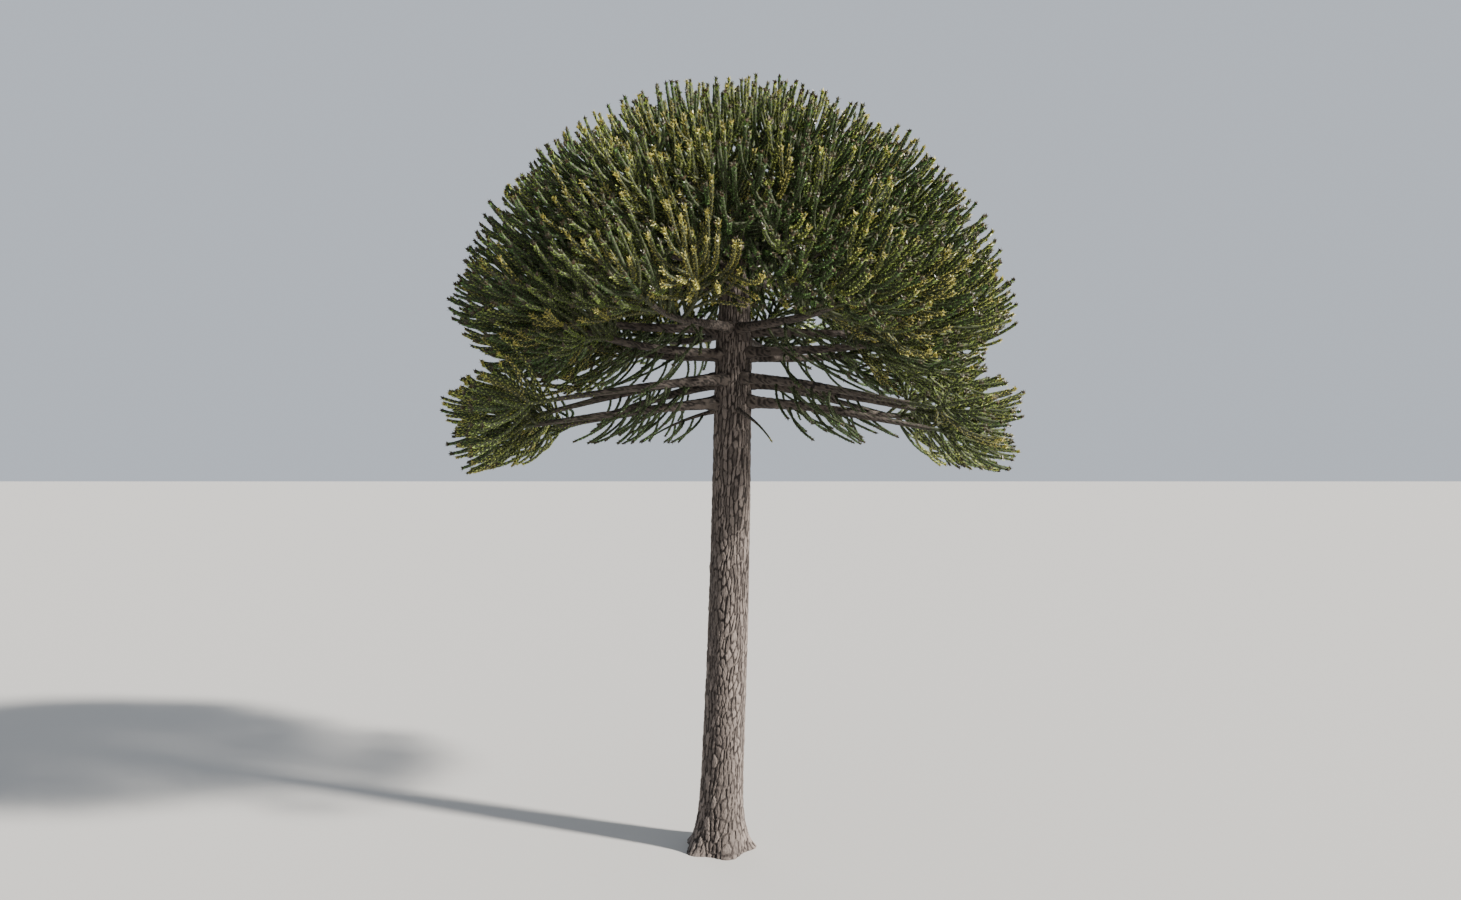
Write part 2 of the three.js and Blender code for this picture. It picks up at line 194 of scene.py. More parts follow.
# Shoots that stand round the leader inside the crown
LEADER_FOOT = 9.7
LEADER_SPACING = 0.14
LEADER_WHORL = 9
LEADER_SEED = 7000
LEADER_PLAY = 0.4
LEADER_SLOPE = (10, 35)
LEADER_STEEPENING = 30
LEADER_STAND_OFF = 0.1
LEADER_LONGEST = 1.8
LEADER_REACH = 0.93

# Cores of the shoots
CORE_RADIUS = 0.025
CORE_SIDES = 5
CORE_RING_SPACING = 0.18
CORE_END = 0.012
CORE_END_GIRTH = 0.7
CORE_FOOT_TAPER = 1.25
CORE_FOOT_EASING = 1.2
ASKEW = (0.31, 0.52, 0.8)

# Leaves, in a spiral on each shoot, swollen into a club at its tip
LEAVES_PER_METRE = 64
LEAF_LENGTH = 0.064
LEAF_WIDTH = 0.043
LEAF_THICKNESS = 0.008
LEAF_CORNERS_APART = 1.732
LEAF_SIZES = (0.86, 0.26)
LEAF_LEAN = 33
LEAF_LEAN_PLAY = 12
LEAF_ROOT = 0.92
LEAFY_DEPTH = 2.2
LEAFY_PLAY = 0.5
GOLDEN_TURN = math.radians(137.508)
FIRST_TURN_PLAY = 6.28
CLUB_LENGTH = 0.085
SWELL_FROM_TIP = 0.06
SWELL_LENGTH = 0.045
SWELL_LEAN = 22
SWELL_SIZE = 0.3
BUD_LENGTH = 0.035
BUD_LEAN = 30
BUD_SIZE = 0.25
BUD_ROOT = 0.5
# Leaves darken with distance from a shoot's tip, partly with age and partly as painted shade inside the
# crown. The last darkens each leaf towards its root, which is painted shade between the leaves.
AGED_AND_SHADED_FROM_TIP = 1.5
AGE_PLAY = 0.25
AGE_AND_SHADE_BY_PLACE = 0.7
PAINTED_SHADE_ALONG_LEAF = 0.3

# Bark
TRUNK_SIDES = 40
TRUNK_RINGS = 120
TRUNK_CUTS = 3
TRUNK_CROWDING = 1.12
TRUNK_INSET = 0.004
PLATE_COLUMNS = 32
PLATE_HEIGHT = 0.2
PLATE_PLAY = 0.46
CRACK_WIDTH = 0.42
CRACK_DEPTH = 0.022
CRACK_DEPTH_SHARES = (0.25, 1.2)
LEVEL_CRACKS = 0.35
PLATE_RISE = 0.35
FLAKES_ACROSS = 3
FLAKE_HEIGHT = 0.42
FLAKE_WIDTH = 0.3
FLAKE_DEPTH = 0.22
FLAKE_DARKENING = 0.3
WHORL_SCAR_SPACING = 0.74
WHORL_SCAR_WIDTH = 0.05
WHORL_SCAR_HEIGHT = 0.007
LIMB_SIDES = 16
LIMB_RINGS = 72
LIMB_RELIEF = 0.11
LIMB_WRINKLE = 0.021
LIMB_WRINKLE_DEPTH = 0.12
LIMB_SCALES_ROUND = 7
LIMB_SCALE_LENGTH = 0.085
LIMB_CRACK_EDGES = (0.02, 0.3)
LIMB_CRACK_DEPTH = 0.8
LIMB_SWELLING = 0.31
LIMB_SWELLING_RISE = 0.25
COLLAR_GIRTH = 0.4
COLLAR_LENGTH = 0.12

# Bark colours: darker plates, paler plates and cracks, then the scale of the grain. The trunk's own colours
# are darkened as painted shade from the crown. The limbs' colours are a still darker copy, as painted shade
# under the crown.
TRUNK_BARK_WITH_PAINTED_SHADE = (0.038, 0.029, 0.025), (0.160, 0.130, 0.114), (0.014, 0.009, 0.007), 22
LIMB_BARK_WITH_PAINTED_SHADE = (0.030, 0.023, 0.019), (0.080, 0.063, 0.053), (0.014, 0.010, 0.008), 40

# Weathering of bark
GRAIN_STRETCH = (1, 1, 0.3)
GRAIN_DETAIL = 6
GRAIN_ROUGHNESS = 0.62
PLATE_TONE_SHARE = 0.55
PLATE_TONES = (0.42, 0.95)
CRACK_FRAYING = 0.8
CRACK_EDGES = (0.66, 1)
GRAIN_BUMP = 0.7
GRAIN_HEIGHT = 0.012

# Leaf tints: name, base colour, share of the sprays. They are dealt by spray: deep is partly older foliage
# and partly painted shade, and bright and golden are partly young growth and partly painted sunlight.
TINTS = [
    ("deep", (0.096, 0.182, 0.050), 0.30),
    ("olive", (0.235, 0.320, 0.072), 0.37),
    ("bright", (0.395, 0.450, 0.100), 0.25),
    ("golden", (0.460, 0.430, 0.105), 0.08),
]
# Club tints: the clubs' own dark brown, and a lit copy of it in gold, which is painted sunlight.
CLUB_TINTS = [
    ("club_dark", (0.045, 0.029, 0.013), 0.74),
    ("club_painted_sunlit", (0.260, 0.225, 0.045), 0.26),
]
# The darkest end is old leaves and painted shade together. The palest end is young growth.
OLD_LEAF_AND_PAINTED_SHADE = 0.33
YOUNG_LEAF_SHADE = 1.3
LEAF_AGES = (0.2, 1)
BLOTCH_SCALE = 2.6
BLOTCH_DETAIL = 3
BLOTCH_SHARE = 0.35
# The shoots' cores: their own dark green, darkened further as painted shade between the leaves.
TWIG_COLOUR_WITH_PAINTED_SHADE = (0.030, 0.036, 0.014)
LEAF_ROUGHNESS = 0.4
TWIG_ROUGHNESS = 0.8
BARK_ROUGHNESS = 0.9

# Tiers whose foliage is joined into one set of pieces
ZONES = {
    "lower": ("inner", "lower"),
    "middle": ("middle",),
    "upper": ("upper",),
    "top": ("high", "top", "crest"),
}

# Floor, sky, and a level camera as high as the photograph's
CAMERA_PLACE = (0.2, -18.1, 6.8)
CAMERA_LENS = 26
CAMERA_SENSOR = 36
FLOOR_SIZE = 420
FLOOR_COLOUR = (0.37, 0.36, 0.347)
FLOOR_ROUGHNESS = 0.9
SKY_COLOUR = (0.80, 0.87, 0.97)
SKY_STRENGTH = 0.72

# Suns: place, strength, spread in degrees, colour
KEY_SUN = (20, -8, 12.5), 15.5, 4, (1, 0.96, 0.89)
BACK_SUN = (-6, 16, 9), 0.6, 40, (0.92, 0.96, 1)


def chance(seed):
    """The same number from 0 to 1 each time for the same seed."""
    wave = math.sin(seed * 12.9898) * 43758.5453
    return wave - math.floor(wave)


def drawn(least, more, seed):
    return least + more * chance(seed)


def unit(vector):
    return vector / np.linalg.norm(vector)


def heading(bearing, rise):
    b, r = math.radians(bearing), math.radians(rise)
    return np.array([math.cos(r) * math.cos(b), math.cos(r) * math.sin(b), math.sin(r)])


def trunk_axis(height):
    return np.array([LEAN * height + SWAY * math.sin(height / SWAY_LENGTH), 0.0, height])


def trunk_radius(height, bearing=0.0):
    height = np.asarray(height, float)
    bole = BOLE_RADIUS - BOLE_TAPER * height
    climb = np.clip((height - LEADER_HEIGHT) / (TRUNK_TOP - LEADER_HEIGHT), 0, 1)
    leader = LEADER_TIP_RADIUS + (bole - LEADER_TIP_RADIUS) * (1 - climb) ** LEADER_EASING
    flare = np.exp(-height / FLARE_HEIGHT)
    lobes = 1 + ROOT_LOBE_DEPTH * flare * np.cos(ROOT_LOBES * bearing)
    return (leader + FLARE_RADIUS * flare) * lobes


CROWN_CENTRE = trunk_axis(CROWN_CENTRE_HEIGHT)


def crown_reach(rise):
    """How far the crown reaches from its centre in a direction with this rise."""
    waist = WAIST_DEPTH * math.exp(-(((rise - WAIST_RISE) / WAIST_WIDTH) ** 2))
    return CROWN_RADIUS * (1 - waist)


def rise_of(vector):
    return math.degrees(math.atan2(vector[2], math.hypot(vector[0], vector[1])))


# Limbs


class Path:
    """A line through points, measured by its length."""

    def __init__(self, points):
        self.points = np.asarray(points, float)
        steps = np.linalg.norm(np.diff(self.points, axis=0), axis=1)
        self.along = np.concatenate([[0], np.cumsum(steps)])
        self.length = self.along[-1]

    def at(self, share):
        distance = np.asarray(share, float) * self.length
        return np.stack([np.interp(distance, self.along, self.points[:, k]) for k in range(3)], axis=-1)

    def heading(self, share):
        near = self.at(np.clip(np.asarray(share) - LOOK_AHEAD, 0, 1))
        far = self.at(np.clip(np.asarray(share) + LOOK_AHEAD, 0, 1))
        ahead = far - near
        return ahead / np.linalg.norm(ahead, axis=-1, keepdims=True)


def limb_plan(tier, tier_index, number):
    name, limbs, attach, stagger, turn, tip, start, end, reach, bare, opening, girth, bough = tier
    seed = 100 * tier_index + number
    even = turn + 360 * (number + BEARING_PLAY * (chance(seed) - 0.5)) / limbs
    side = 180 * round(even / 180)
    bearing = side + (even - side) * (1 - opening / 180)
    place = number % (limbs // 2) if opening else number
    step = -0.5 if place % 2 else 0.5
    foot = trunk_axis(attach + stagger * (2 * step + ATTACH_PLAY * (chance(seed + 31) - 0.5)))
    tip_rise = tip + TIP_PLAY * (chance(seed + 57) - 0.5) + (TIP_STEP * step if bough else 0)
    end_point = CROWN_CENTRE + heading(bearing, tip_rise) * reach * crown_reach(tip_rise)
    hold = LIMB_HOLD * np.linalg.norm(end_point - foot)
    leaving = (even + bearing) / 2 + LEAVING_PLAY * (chance(seed + 73) - 0.5)
    hold_out = foot + heading(leaving, start) * hold
    hold_in = end_point - heading(bearing, end) * hold
    t = np.linspace(0, 1, LIMB_CURVE_POINTS)[:, None]
    near_half = (1 - t) ** 3 * foot + 3 * (1 - t) ** 2 * t * hold_out
    curve = near_half + 3 * (1 - t) * t**2 * hold_in + t**3 * end_point
    return {"tier": name, "seed": seed, "path": Path(curve), "bare": bare, "girth": girth, "bough": bough,
            "name": f"{name}_{number + 1:02d}"}


def all_limbs():
    limbs = [limb_plan(tier, i, n) for i, tier in enumerate(TIERS) for n in range(tier[1])]
    crest_top = trunk_axis(CROWN_CENTRE_HEIGHT + CREST_REACH * CROWN_RADIUS)
    crest = Path([trunk_axis(TRUNK_TOP - CREST_INSET), crest_top])
    limbs.append({"tier": "crest", "seed": CREST_SEED, "path": crest, "bare": CREST_BARE,
                  "girth": LEADER_TIP_RADIUS, "bough": False, "name": "crest_01"})
    return limbs


LIMBS = all_limbs()
LIMB_POINTS = np.stack([limb["path"].at(np.linspace(0, 1, LIMB_MARKS)) for limb in LIMBS])


def limb_gaps(p):
    """How far p is from each limb."""
    a, b = LIMB_POINTS[:, :-1], LIMB_POINTS[:, 1:]
    ab = b - a
    t = np.clip(((p - a) * ab).sum(-1) / (ab * ab).sum(-1), 0, 1)
    return np.linalg.norm(a + t[..., None] * ab - p, axis=-1).min(axis=1)


def in_own_space(p, limb):
    """Whether p lies nearer to this limb than to any other, or only a little further."""
    gaps = limb_gaps(p)
    return gaps[limb] < gaps.min() + MINGLING


def nearest_limb(p):
    return int(limb_gaps(p).argmin())


def rings_along(path, shares):
    """A centre, a heading and two directions across for each share, with no twist from ring to ring."""
    centres, ahead = path.at(shares), path.heading(shares)
    up = np.array([1.0, 0, 0]) if abs(ahead[0][2]) > STEEP else np.array([0, 0, 1.0])
    ups = []
    for along in ahead:
        up = unit(up - along * up.dot(along))
        ups.append(up)
    ups = np.array(ups)
    return centres, ahead, ups, np.cross(ahead, ups)


# Growth


class Room:
    """Where shoots already are, so that a new one can keep clear of them."""

    def __init__(self, cell):
        self.cell = cell
        self.held = defaultdict(list)

    def place(self, p):
        return int(p[0] // self.cell), int(p[1] // self.cell), int(p[2] // self.cell)

    def add(self, points, owner):
        for p in points:
            self.held[self.place(p)].append((p[0], p[1], p[2], owner))

    def taken(self, p, gap, left_out=None):
        i, j, k = self.place(p)
        for x in (i - 1, i, i + 1):
            for y in (j - 1, j, j + 1):
                for z in (k - 1, k, k + 1):
                    for qx, qy, qz, owner in self.held.get((x, y, z), ()):
                        near = (p[0] - qx) ** 2 + (p[1] - qy) ** 2 + (p[2] - qz) ** 2 < gap * gap
                        if near and owner != left_out:
                            return True
        return False


ROOM = Room(GAP_AT_SHELL)
SHOOTS = []


def depth_at(p):
    """How deep p lies under the crown's shell."""
    out = p - CROWN_CENTRE
    return crown_reach(rise_of(out)) - np.linalg.norm(out)


def sweep(p, first_slope):
    """The direction that a shoot here turns to, and how near the shell it is.

    It sags on its way out, and its tip turns up. A part of the slope that it set out with is kept.
    """
    out = p - CROWN_CENTRE
    bearing = math.degrees(math.atan2(out[1], out[0]))
    rise = rise_of(out)
    near_shell = min(1, max(0, 1 - depth_at(p) / TIP_DEPTH)) ** TIP_EASING
    upturned = np.interp(rise, RISES, TIP_SLOPES)
    outwards = np.interp(rise, RISES, OUTWARD_SLOPES)
    outwards += SLOPE_KEPT * (first_slope - outwards)
    slope = outwards + (upturned - outwards) * near_shell
    return heading(bearing, slope), near_shell


def floor_at(p):
    """Height of the crown's underside, an arch as seen from the front. Only the fans hang below it."""
    return np.interp(abs(p[0] - CROWN_CENTRE[0]), *UNDERSIDE)


def clear_of_trunk(p):
    axis = trunk_axis(p[2])
    aside = math.hypot(p[0] - axis[0], p[1] - axis[1])
    return p[2] > TRUNK_TOP or aside > float(trunk_radius(p[2])) + TRUNK_CLEARANCE


def inside_box(p):
    low, high = CAD_BOX
    return all(low[k] + SKIN < p[k] < high[k] - SKIN for k in range(3))


def grow(start, away, longest, reach, limb, parent, luck, girth=1):
    """Grows one shoot and keeps it, unless it comes out too short."""
    points = [np.array(start, float)]
    direction = unit(away)
    first_slope = rise_of(direction)
    p = points[0]
    near_shell = 0
    for step in range(int(longest / GROWTH_STEP)):
        grown = (step + 1) * GROWTH_STEP
        goal, near_shell = sweep(p, first_slope)
        pull = INNER_TURN * min(1, grown / STRAIGHT_FOOT)
        pull += (TIP_TURN - pull) * near_shell
        direction = unit(direction * (1 - pull) + goal * pull)
        p = p + direction * GROWTH_STEP
        out = p - CROWN_CENTRE
        distance = np.linalg.norm(out)
        shell = reach * (crown_reach(rise_of(out)) - SKIN)
        at_shell = distance > shell
        if at_shell:
            p = CROWN_CENTRE + out * shell / distance
        if p[2] < floor_at(p) + SKIN or not inside_box(p) or not clear_of_trunk(p):
            break
        if not in_own_space(p, limb):
            break
        left_out = parent if grown < PARENT_REACH else None
        gap = GAP_INSIDE + (GAP_AT_SHELL - GAP_INSIDE) * near_shell
        if grown > FOOT_FREE and ROOM.taken(p, gap, left_out):
            break
        points.append(p)
        if at_shell:
            break
    shortest = SHOOT_SHORTEST if near_shell > 1 - REACHED_DEPTH / TIP_DEPTH else SHORTEST_INSIDE
    return keep_shoot(points, limb, luck, shortest, girth)


def keep_shoot(points, limb, luck, shortest, girth=1, slim=1.0):
    """Keeps the shoot along these points, unless it is too short."""
    path = Path(points)
    if path.length < shortest:
        return None
    shoot = {"path": path, "limb": limb, "luck": luck, "id": len(SHOOTS), "slim": slim,
             "foot": CORE_RADIUS * girth, "leafy_from": 0.0}
    SHOOTS.append(shoot)
    ROOM.add(points[1:], shoot["id"])
    return shoot


def grow_fan(limb):
    """Thin twigs that hang from the bare wood of a bough, or from all of an inner limb."""
    own = LIMBS[limb]
    first, last = FAN_ON_INNER if own["tier"] == "inner" else (FAN_FROM_BARE * own["bare"], own["bare"])
    count = int((last - first) * own["path"].length / FAN_SPACING)
    shares = np.linspace(first, last, count)
    centres, ahead, ups, acrosses = rings_along(own["path"], shares)
    for n in range(count):
        luck = own["seed"] * 3.1 + 17 * n
        side = 1 if n % 2 else -1
        roll = math.pi + side * math.radians(drawn(*FAN_ROLL, luck))
        direction = side_ways(ahead[n], ups[n], acrosses[n], roll, math.radians(drawn(*FAN_FORK, luck + 1)))
        p = centres[n]
        points = [p]
        for _ in range(int(drawn(*FAN_LENGTHS, luck + 2) / GROWTH_STEP)):
            out = p - trunk_axis(p[2])
            goal = heading(math.degrees(math.atan2(out[1], out[0])), FAN_SLOPE)
            direction = unit(direction * (1 - FAN_TURN) + goal * FAN_TURN)
            p = p + direction * GROWTH_STEP
            if p[2] < INNER_FLOOR or abs(p[0] - trunk_axis(p[2])[0]) < FAN_CLEAR:
                break
            if len(points) > FAN_FREE_STEPS and ROOM.taken(p, GAP_INSIDE):
                break
            points.append(p)
        twig = keep_shoot(points, limb, luck, SHOOT_SHORTEST, slim=FAN_SLIM)
        if twig:
            # The fans always take the darkest tint, as painted shade under the boughs.
            twig["tint"] = 0


def side_ways(ahead, up, across, roll, fork):
    """The direction of a side shoot at a fork's angle from its parent, rolled round it."""
    outward = up * math.cos(roll) + across * math.sin(roll)
    return ahead * math.cos(fork) + outward * math.sin(fork)


def fork_angle(share, luck):
    mean = FORK_AT_FOOT + (FORK_AT_TIP - FORK_AT_FOOT) * share
    return math.radians(mean + FORK_PLAY * (chance(luck) - 0.5))


def grow_stem(limb):
    """The leafy end of the limb itself."""
    path, bare = LIMBS[limb]["path"], LIMBS[limb]["bare"]
    count = max(3, int(path.length * (1 - bare) / GROWTH_STEP))
    points = path.at(np.linspace(bare, 1, count + 1))
    slim = INNER_SLIM if LIMBS[limb]["tier"] == "inner" else 1.0
    stem = {"path": Path(points), "limb": limb, "luck": LIMBS[limb]["seed"] * 7.3, "id": len(SHOOTS),
            "slim": slim, "foot": STEM_RADIUS, "leafy_from": STEM_LEAFY_FROM}
    SHOOTS.append(stem)
    ROOM.add(points, stem["id"])
    return stem


def grow_sprays(stem):
    """Whorls of four sprays along a stem, every other whorl turned by an eighth."""
    path, limb = stem["path"], stem["limb"]
    whorls = max(2, round(path.length / WHORL_SPACING))
    shares = (np.arange(whorls) + WHORL_FOOT) / whorls
    _, ahead, ups, acrosses = rings_along(path, shares)
    sprays = []
    for w, share in enumerate(shares):
        for number in range(WHORL_SPRAYS):
            luck = stem["luck"] + 19 * w + 5 * number
            roll = math.radians(90 * number + 45 * (w % 2) + SPRAY_ROLL_PLAY * (chance(luck + 2) - 0.5))
            away = side_ways(ahead[w], ups[w], acrosses[w], roll, fork_angle(share, luck))
            longest = SPRAY_LONGEST * (1 - SPRAY_TAPER * share) * drawn(*SPRAY_LENGTHS, luck + 3)
            reach = drawn(*SPRAY_REACH, luck + 1)
            spray = grow(path.at(share), away, longest, reach, limb, stem["id"], luck, SPRAY_GIRTH)
            if spray:
                sprays.append(spray)
    return sprays


def grow_pairs(spray):
    """Opposite side shoots along a spray, each pair turned a quarter from the last."""
    path, limb = spray["path"], spray["limb"]
    pairs = int((path.length - PAIRS_END) / PAIR_SPACING)
    if pairs < 1:
        return []
    shares = (PAIR_FOOT + PAIR_SPACING * np.arange(pairs)) / path.length
    widest, closing = PAIR_FORKS
    _, ahead, ups, acrosses = rings_along(path, shares)
    grown = []
    for n, share in enumerate(shares):
        if depth_at(path.at(share)) < UNBRANCHED_DEPTH:
            break
        for side in range(2):
            luck = spray["luck"] * 1.7 + 13 * n + 7 * side
            roll = math.radians(90 * (n % 2) + 180 * side + PAIR_ROLL_PLAY * (chance(luck + 2) - 0.5))
            away = side_ways(ahead[n], ups[n], acrosses[n], roll, fork_angle(widest + closing * share, luck))
            longest = SIDE_LONGEST * drawn(*SIDE_LENGTHS, luck + 3)
            reach = drawn(*SIDE_REACH, luck + 1)
            shoot = grow(path.at(share), away, longest, reach, limb, spray["id"], luck)
            if shoot:
                shoot["tint_from"] = spray["id"]
                grown.append(shoot)
    return grown


def grow_forks(shoot):
    """Forks on a long side shoot, wherever there is room."""
    path = shoot["path"]
    if path.length < FORKED_FROM:
        return
    shares = np.array(FORK_SHARES)
    _, ahead, ups, acrosses = rings_along(path, shares)
    for n, share in enumerate(shares):
        luck = shoot["luck"] * 1.3 + 3 + 5 * n
        roll = 2 * math.pi * chance(luck + 1)
        away = side_ways(ahead[n], ups[n], acrosses[n], roll, FORK_ANGLE)
        reach = drawn(*SIDE_REACH, luck + 2)
        fork = grow(path.at(share), away, FORK_LONGEST, reach, shoot["limb"], shoot["id"], luck)
        if fork:
            fork["tint_from"] = shoot.get("tint_from", shoot["id"])


def grow_round_leader():
    """Whorls of shoots from the leader itself, each counted to the limb that it stands nearest to."""
    for number, height in enumerate(np.arange(LEADER_FOOT, TRUNK_TOP, LEADER_SPACING)):
        climb = LEADER_STEEPENING * (height - LEADER_FOOT) / (TRUNK_TOP - LEADER_FOOT)
        for place in range(LEADER_WHORL):
            luck = LEADER_SEED + 11 * number + 3.7 * place
            turn = place + 0.5 * (number % 2) + LEADER_PLAY * (chance(luck) - 0.5)
            bearing = 360 * turn / LEADER_WHORL
            away = heading(bearing, drawn(*LEADER_SLOPE, luck + 1) + climb)
            stand_off = float(trunk_radius(height)) + LEADER_STAND_OFF
            foot = trunk_axis(height) + heading(bearing, 0) * stand_off
            grow(foot, away, LEADER_LONGEST, LEADER_REACH, nearest_limb(foot + away), None, luck)


def grow_crown():
    stems = [grow_stem(limb) for limb in range(len(LIMBS))]
    sprays = [s for stem in stems if LIMBS[stem["limb"]]["tier"] != "inner" for s in grow_sprays(stem)]
    sides = [shoot for spray in sprays for shoot in grow_pairs(spray)]
    for shoot in sides:
        grow_forks(shoot)
    grow_round_leader()
    for number, limb in enumerate(LIMBS):
        if limb["bough"] or limb["tier"] == "inner":
            grow_fan(number)


# Leaves and twigs, as joined meshes from arrays


class Shoots:
    """The paths of many shoots in one set of arrays, read at any distance along each."""

    def __init__(self, shoots):
        padded = []
        for shoot in shoots:
            points = shoot["path"].points
            before = 2 * points[0] - points[1]
            after = 2 * points[-1] - points[-2]
            padded.append(np.vstack([before, points, after]))
        self.first = np.cumsum([0] + [len(p) for p in padded[:-1]])
        self.points = np.vstack(padded)
        self.spans = np.array([len(p) - 3 for p in padded])
        self.length = np.array([shoot["path"].length for shoot in shoots])
        side = []
        for shoot in shoots:
            ahead = unit(shoot["path"].points[-1] - shoot["path"].points[0])
            side.append(unit(np.cross(ahead, ASKEW)))
        self.side = np.array(side)

    def read(self, which, share):
        """Centre, heading and two directions across of shoot number which, at a share of its length."""
        at = share * self.spans[which]
        span = np.minimum(at.astype(int), self.spans[which] - 1)
        t = (at - span)[:, None]
        a, b, c, d = (self.points[self.first[which] + span + k] for k in range(4))
        once, twice, thrice = c - a, 2 * a - 5 * b + 4 * c - d, 3 * b - a - 3 * c + d
        centre = 0.5 * (2 * b + once * t + twice * t**2 + thrice * t**3)
        ahead = 0.5 * (once + 2 * twice * t + 3 * thrice * t**2)
        ahead /= np.linalg.norm(ahead, axis=1, keepdims=True)
        side = self.side[which]
        up = side - ahead * (side * ahead).sum(1, keepdims=True)
        up /= np.linalg.norm(up, axis=1, keepdims=True)
        return centre, ahead, up, np.cross(ahead, up)


def noise(values):
    """As chance, for an array of seeds."""
    wave = np.sin(values * 12.9898) * 43758.5453
    return wave - np.floor(wave)


def deselect():
    for piece in bpy.context.view_layer.objects:
        piece.select_set(False)


def add_to_scene(name, data):
    holder = bpy.data.objects.new(name, data)
    bpy.context.scene.collection.objects.link(holder)
    return holder


def leaf_shape():
    """One leaf: a three-sided cone with no base, pressed flat. Its root is at the origin, its tip on +Z."""
    deselect()
    middle = (0, 0, 0.5)
    bpy.ops.mesh.primitive_cone_add(vertices=3, radius1=1, depth=1, end_fill_type="NOTHING", location=middle)
    leaf = bpy.context.object
    bpy.ops.object.mode_set(mode="EDIT")
    bpy.ops.mesh.select_all(action="SELECT")
    size = (LEAF_WIDTH / LEAF_CORNERS_APART, LEAF_THICKNESS, 1)
    bpy.ops.transform.resize(value=size, center_override=(0, 0, 0))
    bpy.ops.object.mode_set(mode="OBJECT")
    points = np.array([v.co for v in leaf.data.vertices])
    faces = np.array([list(p.vertices) for p in leaf.data.polygons])
    bpy.data.objects.remove(leaf)
    return points, faces


def mesh_piece(name, points, faces, material, smooth=False):
    """A piece from arrays: points n by 3, and faces that all have the same number of corners."""
    mesh = bpy.data.meshes.new(name)
    corners = faces.shape[1]
    mesh.vertices.add(len(points))
    mesh.vertices.foreach_set("co", points.astype(np.float32).ravel())
    mesh.loops.add(faces.size)
    mesh.loops.foreach_set("vertex_index", faces.astype(np.int32).ravel())
    mesh.polygons.add(len(faces))
    mesh.polygons.foreach_set("loop_start", np.arange(0, faces.size, corners, dtype=np.int32))
    mesh.polygons.foreach_set("use_smooth", np.full(len(faces), smooth))
    mesh.update()
    mesh.validate()
    mesh.materials.append(material)
    return add_to_scene(name, mesh)


def core_radius(foot, share):
    """Radius of a shoot's core: thicker at its foot, and even in its last fifth."""
    swelling = np.clip(1 - CORE_FOOT_TAPER * share, 0, 1) ** CORE_FOOT_EASING
    return CORE_RADIUS + (foot - CORE_RADIUS) * swelling


def leaves_on(shoots, shape, clubs):
    """Points, faces, and youth with painted shade of these shoots' leaves: those of the clubs at their tips,
    or the rest.
    """
    paths = Shoots(shoots)
    counts = [max(4, int(s["path"].length * (1 - s["leafy_from"]) * LEAVES_PER_METRE)) for s in shoots]
    which = np.repeat(np.arange(len(shoots)), counts)
    number = np.concatenate([np.arange(n) for n in counts])
    start = np.array([s["leafy_from"] for s in shoots])[which]
    share = start + (1 - start) * (number + 0.5) / np.array(counts)[which]
    luck = np.array([s["luck"] for s in shoots])[which] + number * 0.37
    to_tip = (1 - share) * paths.length[which]
    centre, ahead, up, across = paths.read(which, share)
    kept = (to_tip < CLUB_LENGTH) == clubs
    out = centre - CROWN_CENTRE
    rise = np.degrees(np.arctan2(out[:, 2], np.hypot(out[:, 0], out[:, 1])))
    waist = WAIST_DEPTH * np.exp(-(((rise - WAIST_RISE) / WAIST_WIDTH) ** 2))
    depth = CROWN_RADIUS * (1 - waist) - np.linalg.norm(out, axis=1)
    height = centre[:, 2] - np.interp(np.abs(out[:, 0]), *UNDERSIDE)
    kept &= np.minimum(depth, height) < LEAFY_DEPTH - LEAFY_PLAY * noise(luck)
    slim = np.array([s["slim"] for s in shoots])[which][kept]
    centre, ahead, up, across = centre[kept], ahead[kept], up[kept], across[kept]
    which, number, share, luck, to_tip = which[kept], number[kept], share[kept], luck[kept], to_tip[kept]
    turn = number * GOLDEN_TURN + FIRST_TURN_PLAY * noise(which * 1.7)
    outward = up * np.cos(turn)[:, None] + across * np.sin(turn)[:, None]
    bud = np.clip(1 - to_tip / BUD_LENGTH, 0, 1)
    swell = np.exp(-(((to_tip - SWELL_FROM_TIP) / SWELL_LENGTH) ** 2))
    lean = np.radians(LEAF_LEAN + LEAF_LEAN_PLAY * (noise(luck) - 0.5) + SWELL_LEAN * swell - BUD_LEAN * bud)
    smallest, more = LEAF_SIZES
    size = slim * LEAF_LENGTH * (smallest + more * noise(luck + 5))
    size = size * (1 + SWELL_SIZE * swell - BUD_SIZE * bud)
    point_way = ahead * np.cos(lean)[:, None] + outward * np.sin(lean)[:, None]
    across_way = np.cross(ahead, outward)
    face_way = np.cross(point_way, across_way)
    foot = np.array([s["foot"] for s in shoots])[which]
    root = centre + outward * (slim * core_radius(foot, share) * (LEAF_ROOT - BUD_ROOT * bud))[:, None]
    points, faces = shape
    scale = size / LEAF_LENGTH
    placed = (
        root[:, None]
        + point_way[:, None] * (points[:, 2][None, :] * size[:, None])[..., None]
        + across_way[:, None] * (points[:, 0][None, :] * scale[:, None])[..., None]
        + face_way[:, None] * (points[:, 1][None, :] * scale[:, None])[..., None]
    )
    offsets = (np.arange(len(which)) * len(points))[:, None, None]
    # Darker away from the tip, partly with age and partly as painted shade inside the crown. Darker at each
    # leaf's root, as painted shade between the leaves.
    youth_and_painted_shade = np.clip(1 - to_tip / AGED_AND_SHADED_FROM_TIP, 0, 1) - AGE_PLAY * (noise(luck + 9) - 0.5)
    shown = youth_and_painted_shade[:, None] * AGE_AND_SHADE_BY_PLACE + PAINTED_SHADE_ALONG_LEAF * points[:, 2][None, :] / points[:, 2].max()
    return placed.reshape(-1, 3), (faces[None] + offsets).reshape(-1, 3), shown.ravel()


